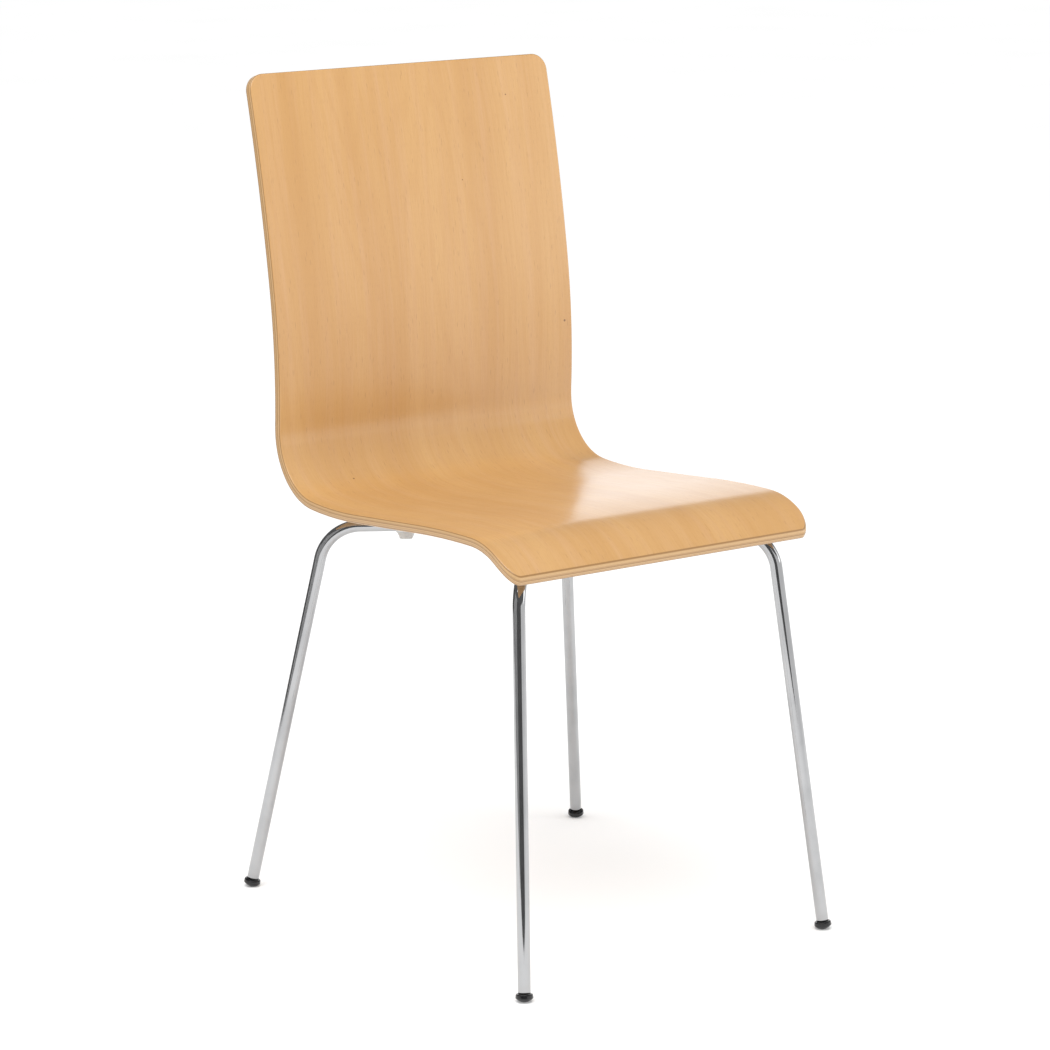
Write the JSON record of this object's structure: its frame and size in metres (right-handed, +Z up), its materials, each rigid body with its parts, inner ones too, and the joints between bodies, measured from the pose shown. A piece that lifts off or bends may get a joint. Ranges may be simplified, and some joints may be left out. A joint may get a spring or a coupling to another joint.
{
  "type": "stacking chair",
  "caption": "Stacking chair with a one-piece bent plywood seat and back on a chromed round-tube frame with splayed legs, stacking buffers and domed plastic glides.",
  "frame": {"origin": "on the floor, under the middle of the chair's outer box", "axes": "+Z up; the chair faces -Y, so the back is at +Y; +X is the sitter's left"},
  "size_m": [0.4566, 0.5178, 0.88],
  "materials": {
    "plywood": "satin lacquered beech veneer, pressed plywood edges",
    "chromed_tube": "polished chrome on steel tube",
    "chromed_plate": "chrome on steel plate with weld beads",
    "spacer_plastic": "matt black moulded plastic",
    "insert_steel": "zinc-plated steel",
    "washer_steel": "zinc-plated steel",
    "bolt_steel": "zinc-plated steel",
    "buffer_plastic": "light grey translucent plastic",
    "glide_plastic": "glossy black plastic"
  },
  "bodies": {
    "root": {"seat_shell": "plywood", "frame_tube_right": "chromed_tube", "frame_tube_left": "chromed_tube", "mounting_plate_front": "chromed_plate", "mounting_plate_rear": "chromed_plate", "spacer_front_right": "spacer_plastic", "spacer_front_left": "spacer_plastic", "spacer_rear_right": "spacer_plastic", "spacer_rear_left": "spacer_plastic", "insert_front_right": "insert_steel", "insert_front_left": "insert_steel", "insert_rear_right": "insert_steel", "insert_rear_left": "insert_steel", "washer_front_right": "washer_steel", "washer_front_left": "washer_steel", "washer_rear_right": "washer_steel", "washer_rear_left": "washer_steel", "bolt_front_right": "bolt_steel", "bolt_front_left": "bolt_steel", "bolt_rear_right": "bolt_steel", "bolt_rear_left": "bolt_steel", "buffer_front_right": "buffer_plastic", "buffer_front_left": "buffer_plastic", "buffer_rear_right": "buffer_plastic", "buffer_rear_left": "buffer_plastic", "glide_front_right": "glide_plastic", "glide_front_left": "glide_plastic", "glide_rear_right": "glide_plastic", "glide_rear_left": "glide_plastic"}
  },
  "joints": []
}
